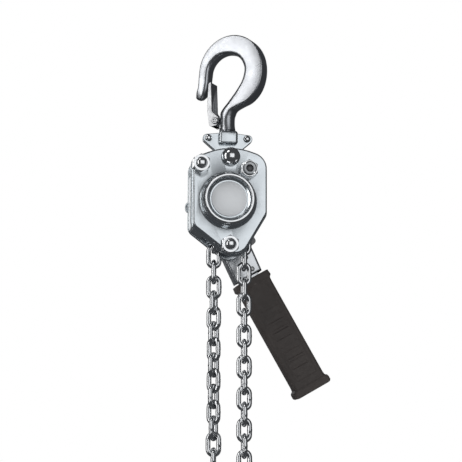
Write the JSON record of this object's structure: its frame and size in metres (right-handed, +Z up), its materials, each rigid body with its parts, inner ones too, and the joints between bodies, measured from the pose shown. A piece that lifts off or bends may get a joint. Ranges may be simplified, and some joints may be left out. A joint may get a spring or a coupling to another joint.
{
  "type": "lever chain hoist",
  "caption": "Compact lever chain hoist (come along winch) with swivel hook, geared sheave body, ratchet lever with rubber grip, loaded and free chain falls and a latched load hook",
  "frame": {"origin": "the seat of the top hook, at the crown of its bowl, where the support bears", "axes": "+Z up along the hanging load line, -Y out of the gear cover, +X to the loaded fall's side seen from the gear cover"},
  "size_m": [0.1184, 0.0861, 0.4612],
  "materials": {
    "zinc_plate": "bright zinc plate, satin",
    "zinc_chain": "zinc-plated welded chain",
    "bright_chrome": "polished plate",
    "forged_steel": "forged, satin nickel plate",
    "machined_steel": "machined, lightly oiled",
    "latch_steel": "pressed sheet, zinc plate",
    "bush_bronze": "sintered bronze",
    "brake_lining": "pressed friction lining",
    "grip_rubber": "moulded, matt, dark warm grey",
    "selector_polymer": "moulded grey"
  },
  "bodies": {
    "top_hook_body": {"top_hook": "forged_steel", "top_latch_rivet": "machined_steel"},
    "top_latch_body": {"top_latch": "latch_steel"},
    "yoke_body": {"yoke_front_half": "zinc_plate", "yoke_rear_half": "zinc_plate", "yoke_rivet_left": "machined_steel", "yoke_rivet_right": "machined_steel"},
    "frame_body": {"gear_side_plate": "zinc_plate", "lever_side_plate": "zinc_plate", "chain_guard": "zinc_plate", "chain_stripper": "machined_steel", "gear_cover": "zinc_plate", "name_disc": "zinc_plate", "stay_bolt_left": "bright_chrome", "stay_bolt_right": "bright_chrome", "cover_stud_bottom": "bright_chrome", "cover_nut_left": "bright_chrome", "cover_nut_right": "bright_chrome", "cover_nut_bottom": "bright_chrome", "top_pin": "bright_chrome", "sheave_bush_front": "bush_bronze", "sheave_bush_rear": "bush_bronze", "brake_cover": "zinc_plate", "brake_cover_screw_left": "bright_chrome", "brake_cover_screw_right": "bright_chrome", "pawl_pin_upper": "machined_steel", "pawl_pin_lower": "machined_steel", "chain_on_sheave": "zinc_chain", "load_chain_upper": "zinc_chain", "tail_chain": "zinc_chain"},
    "sheave_body": {"load_sheave": "machined_steel", "load_gear": "machined_steel"},
    "cluster_left_body": {"cluster_gear_left": "machined_steel"},
    "cluster_right_body": {"cluster_gear_right": "machined_steel"},
    "drive_body": {"drive_shaft": "machined_steel", "friction_hub": "machined_steel", "friction_disc_inner": "brake_lining", "ratchet_disc": "machined_steel", "friction_disc_outer": "brake_lining", "change_gear": "machined_steel", "hand_wheel": "zinc_plate", "end_nut": "bright_chrome"},
    "pawl_upper_body": {"brake_pawl_upper": "machined_steel"},
    "pawl_lower_body": {"brake_pawl_lower": "machined_steel"},
    "lever_body": {"lever_front_half": "zinc_plate", "lever_rear_half": "zinc_plate", "lever_rivet_upper": "machined_steel", "lever_rivet_lower": "machined_steel", "lever_grip": "grip_rubber"},
    "selector_body": {"selector_pawl": "machined_steel", "selector_knob": "selector_polymer"},
    "load_chain_body": {"load_chain_lower": "zinc_chain"},
    "load_block_body": {"load_block": "forged_steel", "load_chain_pin": "machined_steel"},
    "load_hook_body": {"load_hook": "forged_steel", "load_latch_rivet": "machined_steel"},
    "load_latch_body": {"load_latch": "latch_steel"},
    "tail_ring_body": {"tail_ring": "zinc_plate"}
  },
  "joints": [
    {"name": "top_latch_hinge", "type": "hinge", "parent": "top_hook_body", "child": "top_latch_body", "pos_m": [-0.00664, 0.00465, -0.0544], "axis": [0.5736, 0.8192, 0], "range_deg": [0, 32], "stiffness_Nm_per_rad": 0.02, "springref_deg": -17.19},
    {"name": "hook_swivel", "type": "hinge", "parent": "top_hook_body", "child": "yoke_body", "pos_m": [0, 0, -0.0638], "axis": [0, 0, 1], "continuous": true},
    {"name": "top_pin_swing", "type": "hinge", "parent": "yoke_body", "child": "frame_body", "pos_m": [-0.0003, 0, -0.0884], "axis": [0, 1, 0], "range_deg": [-25, 25]},
    {"name": "sheave_turn", "type": "hinge", "parent": "frame_body", "child": "sheave_body", "pos_m": [-0.0025, 0, -0.123], "axis": [0, -1, 0], "range_deg": [0, 361]},
    {"name": "cluster_left_turn", "type": "hinge", "parent": "frame_body", "child": "cluster_left_body", "pos_m": [-0.0169, 0, -0.123], "axis": [0, -1, 0], "range_deg": [-567, 0]},
    {"name": "cluster_right_turn", "type": "hinge", "parent": "frame_body", "child": "cluster_right_body", "pos_m": [0.0119, 0, -0.123], "axis": [0, -1, 0], "range_deg": [-567, 0]},
    {"name": "drive_turn", "type": "hinge", "parent": "frame_body", "child": "drive_body", "pos_m": [-0.0025, 0, -0.123], "axis": [0, -1, 0], "range_deg": [0, 709]},
    {"name": "pawl_upper_lift", "type": "hinge", "parent": "frame_body", "child": "pawl_upper_body", "pos_m": [-0.0025, 0, -0.1036], "axis": [0, 1, 0], "range_deg": [0, 6], "stiffness_Nm_per_rad": 0.01, "springref_deg": -22.92},
    {"name": "pawl_lower_lift", "type": "hinge", "parent": "frame_body", "child": "pawl_lower_body", "pos_m": [-0.0025, 0, -0.1424], "axis": [0, 1, 0], "range_deg": [0, 6], "stiffness_Nm_per_rad": 0.01, "springref_deg": -22.92},
    {"name": "lever_swing", "type": "hinge", "parent": "frame_body", "child": "lever_body", "pos_m": [-0.0025, 0, -0.123], "axis": [0, 1, 0], "continuous": true},
    {"name": "selector_rock", "type": "hinge", "parent": "lever_body", "child": "selector_body", "pos_m": [0.01227, 0, -0.14911], "axis": [0, 1, 0], "range_deg": [-15, 15]},
    {"name": "load_lift", "type": "slide", "parent": "frame_body", "child": "load_chain_body", "axis": [0, 0, 1], "range_m": [0, 0.096], "deforming": ["chain_on_sheave", "load_chain_upper"]},
    {"name": "load_block_swing", "type": "hinge", "parent": "load_chain_body", "child": "load_block_body", "pos_m": [0.01318, 0, -0.348], "axis": [0, 1, 0], "range_deg": [-10, 5]},
    {"name": "load_hook_swivel", "type": "hinge", "parent": "load_block_body", "child": "load_hook_body", "pos_m": [0.01318, 0, -0.4328], "axis": [0, 0, 1], "continuous": true},
    {"name": "load_latch_hinge", "type": "hinge", "parent": "load_hook_body", "child": "load_latch_body", "pos_m": [0.01318, -0.0081, -0.3784], "axis": [1, 0, 0], "range_deg": [0, 32], "stiffness_Nm_per_rad": 0.02, "springref_deg": -17.19},
    {"name": "tail_ring_swing", "type": "hinge", "parent": "frame_body", "child": "tail_ring_body", "pos_m": [-0.0105, 0, -0.3397], "axis": [1, 0, 0], "range_deg": [-30, 30]}
  ],
  "couplings": [
    {"joint": "sheave_turn", "follows": "load_lift", "rad_per_m": 65.45},
    {"joint": "cluster_left_turn", "follows": "load_lift", "rad_per_m": -102.85},
    {"joint": "cluster_right_turn", "follows": "load_lift", "rad_per_m": -102.85},
    {"joint": "drive_turn", "follows": "load_lift", "rad_per_m": 128.56}
  ]
}
